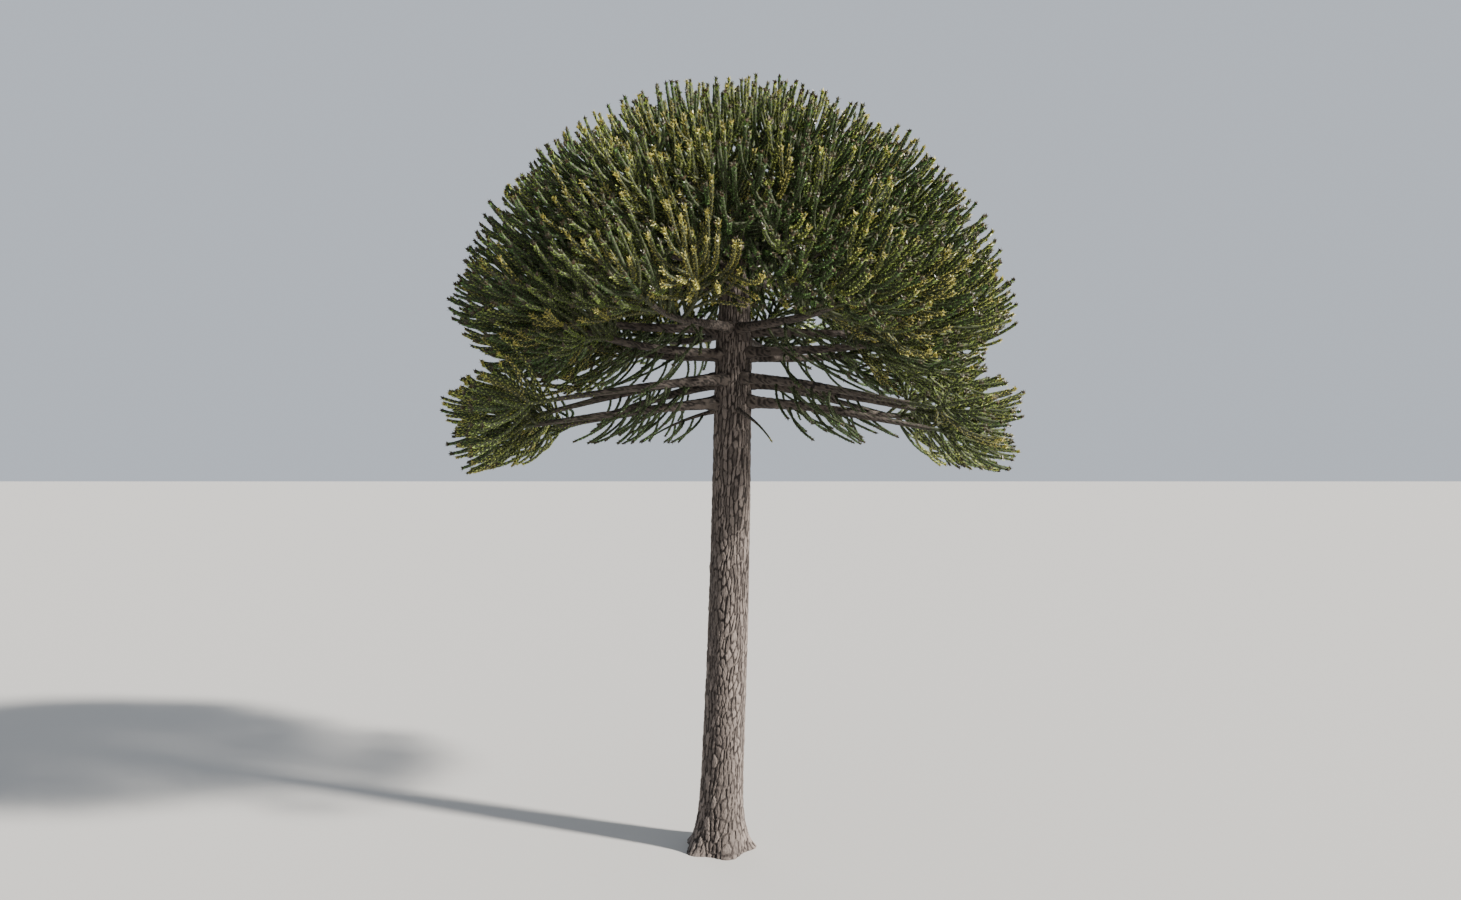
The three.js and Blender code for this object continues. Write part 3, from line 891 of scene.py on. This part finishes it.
def twigs_on(shoots):
    """Points and faces of these shoots' cores: five-sided tubes that taper and are closed at both ends."""
    paths = Shoots(shoots)
    points, faces, start = [], [], 0
    angle = np.arange(CORE_SIDES) / CORE_SIDES * 2 * math.pi
    for n, shoot in enumerate(shoots):
        rings = max(3, int(round(shoot["path"].length / CORE_RING_SPACING)) + 1)
        share = np.linspace(0, 1 - CORE_END / shoot["path"].length, rings)
        centre, _, up, across = paths.read(np.full(rings, n), share)
        taper = shoot["slim"] * core_radius(shoot["foot"], share)
        taper[-1] *= CORE_END_GIRTH
        ring = up[:, None] * np.cos(angle)[None, :, None] + across[:, None] * np.sin(angle)[None, :, None]
        tube = (centre[:, None] + ring * taper[:, None, None]).reshape(-1, 3)
        points.append(np.vstack([tube, centre[0], centre[-1]]))
        k = np.arange(CORE_SIDES)
        near = start + CORE_SIDES * np.arange(rings - 1)[:, None] + k
        nxt = start + CORE_SIDES * np.arange(rings - 1)[:, None] + (k + 1) % CORE_SIDES
        faces.append(np.stack([near, nxt, nxt + CORE_SIDES], -1).reshape(-1, 3))
        faces.append(np.stack([near, nxt + CORE_SIDES, near + CORE_SIDES], -1).reshape(-1, 3))
        foot, tip = start + len(tube), start + len(tube) + 1
        last = start + CORE_SIDES * (rings - 1)
        faces.append(np.stack([start + (k + 1) % CORE_SIDES, start + k, np.full(CORE_SIDES, foot)], -1))
        faces.append(np.stack([last + k, last + (k + 1) % CORE_SIDES, np.full(CORE_SIDES, tip)], -1))
        start += len(tube) + 2
    return np.vstack(points), np.vstack(faces)


# Wood


def extrude_ring(move, size, centre):
    """Draws the selected cap out to its next ring."""
    bpy.ops.mesh.extrude_region_move(TRANSFORM_OT_translate={"value": tuple(move)})
    bpy.ops.transform.resize(value=(size, size, 1), center_override=tuple(centre))


def cells(u, v, columns, jitter=0.38):
    """Plates on a wall that closes round: how near each point is to a crack, and a number for its plate.

    The last thing given is 1 where the crack runs up the wall and 0 where it runs across.
    """
    column, row = np.floor(u), np.floor(v)
    nearest = np.full(u.shape, 9.0)
    second = np.full(u.shape, 9.0)
    plate = np.zeros(u.shape)
    level = np.zeros(u.shape)
    next_level = np.zeros(u.shape)
    for dx in (-1, 0, 1):
        for dy in (-1, 0, 1):
            cx, cy = column + dx, row + dy
            seed = np.mod(cx, columns) * 17.31 + cy * 5.77
            px = cx + 0.5 + jitter * (2 * noise(seed) - 1)
            py = cy + 0.5 + jitter * (2 * noise(seed + 0.43) - 1)
            gap = np.hypot(u - px, v - py)
            closer = gap < nearest
            new_second = np.where(closer, nearest, np.minimum(second, gap))
            next_level = np.where(closer, level, np.where(gap < second, py, next_level))
            second = new_second
            plate = np.where(closer, noise(seed + 0.91), plate)
            level = np.where(closer, py, level)
            nearest = np.where(closer, gap, nearest)
    beside = 1 - np.clip(np.abs(level - next_level), 0, 1)
    return second - nearest, plate, beside


def smooth(low, high, values):
    t = np.clip((values - low) / (high - low), 0, 1)
    return t * t * (3 - 2 * t)


def store(piece, name, values):
    layer = piece.data.attributes.new(name, "FLOAT", "POINT")
    layer.data.foreach_set("value", values.astype(np.float32))


def points_of(piece):
    points = np.empty(len(piece.data.vertices) * 3, np.float32)
    piece.data.vertices.foreach_get("co", points)
    return points.reshape(-1, 3).astype(float)


def lay_bark(piece, points, crack, tone, material):
    """Moves a piece's points to where they belong, and stores what its bark's material reads."""
    piece.data.vertices.foreach_set("co", points.astype(np.float32).ravel())
    store(piece, "crack", crack)
    store(piece, "tone", tone)
    piece.data.update()
    piece.data.materials.clear()
    piece.data.materials.append(material)


def plated_bark(bearing, height, radius):
    """Depth of the bark's relief, its cracks from 0 to 1, and a tone for each plate."""
    wander = 0.35 * np.sin(2.1 * height + 3 * bearing) + 0.22 * np.sin(5.3 * height - 5 * bearing)
    u = bearing / (2 * math.pi) * PLATE_COLUMNS + wander
    v = height / PLATE_HEIGHT + 0.5 * np.sin(3 * bearing + 1) + 0.3 * np.sin(2.3 * height)
    edge, tone, beside = cells(u, v, PLATE_COLUMNS, PLATE_PLAY)
    crack = (1 - smooth(0.0, CRACK_WIDTH, edge)) * (LEVEL_CRACKS + (1 - LEVEL_CRACKS) * beside)
    fine_u = bearing / (2 * math.pi) * FLAKES_ACROSS * PLATE_COLUMNS + 2 * wander
    fine_v = height / (FLAKE_HEIGHT * PLATE_HEIGHT) + np.sin(7 * bearing)
    fine_edge, _, _ = cells(fine_u, fine_v, FLAKES_ACROSS * PLATE_COLUMNS)
    flakes = 1 - smooth(0.0, FLAKE_WIDTH, fine_edge)
    depth = CRACK_DEPTH * np.clip(radius / BOLE_RADIUS, *CRACK_DEPTH_SHARES)
    relief = depth * (-crack - FLAKE_DEPTH * flakes + PLATE_RISE * (tone - 0.5))
    from_scar = np.mod(height, WHORL_SCAR_SPACING) - 0.5 * WHORL_SCAR_SPACING
    scars = np.exp(-((from_scar / WHORL_SCAR_WIDTH) ** 2))
    return relief + WHORL_SCAR_HEIGHT * scars, np.clip(crack + FLAKE_DARKENING * flakes, 0, 1), tone


def make_trunk(material):
    """The trunk: a ring at the ground, drawn up ring by ring, cut finer, then given its plates."""
    deselect()
    bpy.ops.mesh.primitive_circle_add(vertices=TRUNK_SIDES, radius=float(trunk_radius(0)), fill_type="NGON")
    trunk = bpy.context.object
    trunk.name = "trunk_bark"
    bpy.ops.object.mode_set(mode="EDIT")
    bpy.ops.mesh.select_all(action="SELECT")
    heights = TRUNK_TOP * np.linspace(0, 1, TRUNK_RINGS + 1) ** TRUNK_CROWDING
    for low, high in zip(heights[:-1], heights[1:]):
        move = trunk_axis(high) - trunk_axis(low)
        extrude_ring(move, float(trunk_radius(high) / trunk_radius(low)), trunk_axis(high))
    bpy.ops.mesh.select_all(action="SELECT")
    bpy.ops.mesh.subdivide(number_cuts=TRUNK_CUTS)
    bpy.ops.mesh.normals_make_consistent(inside=False)
    bpy.ops.object.mode_set(mode="OBJECT")
    points = points_of(trunk)
    height = np.clip(points[:, 2], 0, TRUNK_TOP)
    axis = np.stack([LEAN * height + SWAY * np.sin(height / SWAY_LENGTH), 0 * height], 1)
    out = points[:, :2] - axis
    bearing = np.arctan2(out[:, 1], out[:, 0])
    radius = trunk_radius(height, bearing)
    relief, crack, tone = plated_bark(bearing, height, radius)
    on_wall = np.hypot(out[:, 0], out[:, 1]) > 0.5 * radius
    wall = np.stack([np.cos(bearing), np.sin(bearing)], 1) * (radius + relief - TRUNK_INSET)[:, None]
    points[:, :2] = np.where(on_wall[:, None], axis + wall, points[:, :2])
    lay_bark(trunk, points, crack, tone, material)
    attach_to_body(trunk, "root")
    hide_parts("trunk")


def limb_blank(sides, rings):
    """A closed rod along +Z, one unit long and one in radius, cut into rings."""
    deselect()
    bpy.ops.mesh.primitive_circle_add(vertices=sides, radius=1, fill_type="NGON")
    rod = bpy.context.object
    bpy.ops.object.mode_set(mode="EDIT")
    bpy.ops.mesh.select_all(action="SELECT")
    for _ in range(rings):
        bpy.ops.mesh.extrude_region_move(TRANSFORM_OT_translate={"value": (0, 0, 1 / rings)})
    bpy.ops.mesh.select_all(action="SELECT")
    bpy.ops.mesh.normals_make_consistent(inside=False)
    bpy.ops.object.mode_set(mode="OBJECT")
    return rod


def limb_bark(bearing, distance, radius, seed):
    """Relief of a limb's bark: tight wrinkles across it, scales, and knobs where shoots have dropped."""
    wrinkle = LIMB_WRINKLE_DEPTH * np.sin(distance / LIMB_WRINKLE + 2.2 * np.sin(2 * bearing + seed) + seed)
    u = bearing / (2 * math.pi) * LIMB_SCALES_ROUND
    edge, tone, _ = cells(u, distance / LIMB_SCALE_LENGTH + 0.4 * np.sin(3 * bearing), LIMB_SCALES_ROUND)
    crack = 1 - smooth(*LIMB_CRACK_EDGES, edge)
    swelling = LIMB_SWELLING_RISE * np.sin(distance / LIMB_SWELLING + seed) * np.sin(bearing + seed * 2)
    return radius * LIMB_RELIEF * (wrinkle - LIMB_CRACK_DEPTH * crack + swelling), crack, tone


def bend_along(rod, limb, material):
    """Lays a rod along a limb, thick at the trunk and thinner towards the tip."""
    points = points_of(rod)
    bare = limb["bare"]
    share = np.clip(points[:, 2], 0, 1) * (bare + BARE_OVERLAP * (1 - bare))
    levels, level_of = np.unique(np.round(share, 5), return_inverse=True)
    centres, _, ups, acrosses = rings_along(limb["path"], levels)
    bearing = np.arctan2(points[:, 1], points[:, 0])
    distance = share * limb["path"].length
    to_bare = np.clip(share / bare, 0, 1)
    beyond = np.clip((share - bare) / (1 - bare), 0, 1)
    radius = limb["girth"] + (STEM_RADIUS - limb["girth"]) * to_bare
    radius = np.where(beyond > 0, core_radius(STEM_RADIUS, beyond), radius)
    radius *= INNER_SLIM if limb["tier"] == "inner" else 1
    foot = float(trunk_radius(limb["path"].points[0][2]))
    collar = COLLAR_GIRTH * np.exp(-np.clip(distance - foot, 0, None) / COLLAR_LENGTH)
    radius = radius * (1 + collar)
    relief, crack, tone = limb_bark(bearing, distance, radius, limb["seed"] * 0.37)
    around = np.cos(bearing)[:, None] * ups[level_of] + np.sin(bearing)[:, None] * acrosses[level_of]
    across = np.hypot(points[:, 0], points[:, 1])
    points = centres[level_of] + around * (across * (radius + relief))[:, None]
    lay_bark(rod, points, crack, tone, material)


def make_limbs(material):
    """Every limb from one blank: the bare boughs stand for theirs, and the rest run inside the foliage."""
    blank = limb_blank(LIMB_SIDES, LIMB_RINGS)
    for limb in LIMBS:
        rod = add_to_scene(f"limb_{limb['name']}", blank.data.copy())
        bend_along(rod, limb, material)
        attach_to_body(rod, "root")
        if limb["bough"]:
            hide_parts(f"bough_{limb['name']}")
    bpy.data.objects.remove(blank)


# Materials


def plain_material(name, colour, roughness):
    material = bpy.data.materials.new(name)
    material.use_nodes = True
    shader = material.node_tree.nodes["Principled BSDF"]
    shader.inputs["Base Color"].default_value = (*colour, 1)
    shader.inputs["Roughness"].default_value = roughness
    return material


def new_group(name, inputs, outputs):
    """A shader node group with these named sockets, and its input and output nodes."""
    group = bpy.data.node_groups.new(name, "ShaderNodeTree")
    for in_out, sockets in (("INPUT", inputs), ("OUTPUT", outputs)):
        for socket, kind in sockets.items():
            group.interface.new_socket(name=socket, in_out=in_out, socket_type=f"NodeSocket{kind}")
    return group, group.nodes.new("NodeGroupInput"), group.nodes.new("NodeGroupOutput")


def multiply_add(group, value, factor, addend):
    """A value times a factor, plus another value."""
    blend = group.nodes.new("ShaderNodeMath")
    blend.operation = "MULTIPLY_ADD"
    blend.inputs[1].default_value = factor
    group.links.new(value, blend.inputs[0])
    group.links.new(addend, blend.inputs[2])
    return blend.outputs["Value"]


def colour_between(group, value, low, high, first, last):
    """The first colour where the value is low, turning into the last where it is high."""
    stretched = group.nodes.new("ShaderNodeMapRange")
    stretched.inputs["From Min"].default_value = low
    stretched.inputs["From Max"].default_value = high
    mix = group.nodes.new("ShaderNodeMix")
    mix.data_type = "RGBA"
    group.links.new(value, stretched.inputs["Value"])
    group.links.new(stretched.outputs["Result"], mix.inputs["Factor"])
    group.links.new(first, mix.inputs["A"])
    group.links.new(last, mix.inputs["B"])
    return mix.outputs["Result"]


def stored(group, name):
    """A value that the mesh stores at each of its points."""
    attribute = group.nodes.new("ShaderNodeAttribute")
    attribute.attribute_name = name
    return attribute.outputs["Fac"]


def make_leaf_age_and_shade():
    """Leaves are darker where they are older, with painted shade deep in a shoot and at each leaf's root, and
    pale where they are young, in soft blotches.
    """
    group, given, made = new_group("leaf_age_and_painted_shade", {"Old": "Color", "Young": "Color"}, {"Colour": "Color"})
    place = group.nodes.new("ShaderNodeTexCoord")
    blotches = group.nodes.new("ShaderNodeTexNoise")
    blotches.inputs["Scale"].default_value = BLOTCH_SCALE
    blotches.inputs["Detail"].default_value = BLOTCH_DETAIL
    group.links.new(place.outputs["Object"], blotches.inputs["Vector"])
    age_and_shade = multiply_add(group, blotches.outputs["Fac"], BLOTCH_SHARE, stored(group, "youth_and_painted_shade"))
    colour = colour_between(group, age_and_shade, *LEAF_AGES, given.outputs["Old"], given.outputs["Young"])
    group.links.new(colour, made.inputs["Colour"])
    return group


def make_weathered_bark():
    """Plates of bark from dark to pale with a drawn-out grain, and darker cracks with frayed edges."""
    inputs = {"Dark Plate": "Color", "Pale Plate": "Color", "Crack": "Color", "Grain Scale": "Float"}
    group, given, made = new_group("weathered_bark", inputs, {"Colour": "Color", "Normal": "Vector"})
    place = group.nodes.new("ShaderNodeTexCoord")
    drawn_out = group.nodes.new("ShaderNodeMapping")
    drawn_out.inputs["Scale"].default_value = GRAIN_STRETCH
    group.links.new(place.outputs["Object"], drawn_out.inputs["Vector"])
    grain = group.nodes.new("ShaderNodeTexNoise")
    grain.inputs["Detail"].default_value = GRAIN_DETAIL
    grain.inputs["Roughness"].default_value = GRAIN_ROUGHNESS
    group.links.new(drawn_out.outputs["Vector"], grain.inputs["Vector"])
    group.links.new(given.outputs["Grain Scale"], grain.inputs["Scale"])
    tone = multiply_add(group, stored(group, "tone"), PLATE_TONE_SHARE, grain.outputs["Fac"])
    dark, pale = given.outputs["Dark Plate"], given.outputs["Pale Plate"]
    plates = colour_between(group, tone, *PLATE_TONES, dark, pale)
    frayed = multiply_add(group, grain.outputs["Fac"], CRACK_FRAYING, stored(group, "crack"))
    colour = colour_between(group, frayed, *CRACK_EDGES, plates, given.outputs["Crack"])
    group.links.new(colour, made.inputs["Colour"])
    bump = group.nodes.new("ShaderNodeBump")
    bump.inputs["Strength"].default_value = GRAIN_BUMP
    bump.inputs["Distance"].default_value = GRAIN_HEIGHT
    group.links.new(grain.outputs["Fac"], bump.inputs["Height"])
    group.links.new(bump.outputs["Normal"], made.inputs["Normal"])
    return group


def place_group(material, group, values):
    """Puts a group in a material with the material's own values."""
    placed = material.node_tree.nodes.new("ShaderNodeGroup")
    placed.node_tree = group
    for socket, value in values.items():
        placed.inputs[socket].default_value = value
    shader = material.node_tree.nodes["Principled BSDF"]
    material.node_tree.links.new(placed.outputs["Colour"], shader.inputs["Base Color"])
    if "Normal" in placed.outputs:
        material.node_tree.links.new(placed.outputs["Normal"], shader.inputs["Normal"])


def leaf_material(name, colour, age_and_shade):
    material = plain_material(name, colour, LEAF_ROUGHNESS)
    old_and_shaded = [OLD_LEAF_AND_PAINTED_SHADE * c for c in colour]
    young = [YOUNG_LEAF_SHADE * c for c in colour]
    place_group(material, age_and_shade, {"Old": (*old_and_shaded, 1), "Young": (*young, 1)})
    return material


def bark_material(name, plate, pale, crack, scale, bark):
    material = plain_material(name, plate, BARK_ROUGHNESS)
    values = {"Dark Plate": (*plate, 1), "Pale Plate": (*pale, 1), "Crack": (*crack, 1), "Grain Scale": scale}
    place_group(material, bark, values)
    return material


# Stage


def make_camera():
    camera = bpy.data.cameras.new("camera")
    camera.lens = CAMERA_LENS
    camera.sensor_width = CAMERA_SENSOR
    holder = add_to_scene("camera", camera)
    holder.location = CAMERA_PLACE
    holder.rotation_euler = (math.radians(90), 0, 0)
    bpy.context.scene.camera = holder


def make_sun(name, location, strength, softness, colour):
    light = bpy.data.lights.new(name, "SUN")
    light.energy = strength
    light.angle = math.radians(softness)
    light.color = colour
    holder = add_to_scene(name, light)
    holder.location = location
    holder.rotation_euler = (-Vector(location)).to_track_quat("-Z", "Y").to_euler()


def make_stage():
    deselect()
    bpy.ops.mesh.primitive_plane_add(size=FLOOR_SIZE, location=(0, 0, 0))
    floor = bpy.context.object
    floor.name = "floor"
    floor.data.materials.append(plain_material("pale_floor", FLOOR_COLOUR, FLOOR_ROUGHNESS))
    world = bpy.data.worlds.new("sky")
    world.use_nodes = True
    background = world.node_tree.nodes["Background"]
    background.inputs["Color"].default_value = (*SKY_COLOUR, 1)
    background.inputs["Strength"].default_value = SKY_STRENGTH
    bpy.context.scene.world = world
    make_sun("key", *KEY_SUN)
    make_sun("back_fill", *BACK_SUN)


def drawn_tint(tints, shoot):
    """The tint that a shoot's spray draws. The brightest sprays have golden clubs, which are painted
    sunlight.
    """
    if "tint" in shoot:
        return shoot["tint"]
    draw = chance(shoot.get("tint_from", shoot["id"]) * 3.17 + 1)
    for number, (_, _, share) in enumerate(tints):
        draw -= share
        if draw < 0:
            break
    return number


def main():
    grow_crown()
    shape = leaf_shape()
    core = plain_material("twig_green_with_painted_shade", TWIG_COLOUR_WITH_PAINTED_SHADE, TWIG_ROUGHNESS)
    age_and_shade, bark = make_leaf_age_and_shade(), make_weathered_bark()
    leaf = {name: leaf_material(f"leaf_{name}", colour, age_and_shade) for name, colour, _ in TINTS + CLUB_TINTS}
    for zone, tiers in ZONES.items():
        nodes = [f"foliage_{limb['name']}" for limb in LIMBS if limb["tier"] in tiers]
        here = [s for s in SHOOTS if LIMBS[s["limb"]]["tier"] in tiers]
        points, faces = twigs_on(here)
        piece = mesh_piece(f"twigs_{zone}", points, faces, core, smooth=True)
        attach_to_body(piece, "root")
        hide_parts(*nodes)
        for tints, clubs in ((TINTS, False), (CLUB_TINTS, True)):
            for number, (name, _, _) in enumerate(tints):
                mine = [s for s in here if drawn_tint(tints, s) == number]
                points, faces, youth_and_painted_shade = leaves_on(mine, shape, clubs)
                piece = mesh_piece(f"leaves_{zone}_{name}", points, faces, leaf[name])
                store(piece, "youth_and_painted_shade", youth_and_painted_shade)
                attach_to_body(piece, "root")
                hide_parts(*nodes)
    make_trunk(bark_material("trunk_bark", *TRUNK_BARK_WITH_PAINTED_SHADE, bark))
    make_limbs(bark_material("limb_bark", *LIMB_BARK_WITH_PAINTED_SHADE, bark))
    make_stage()
    make_camera()


main()
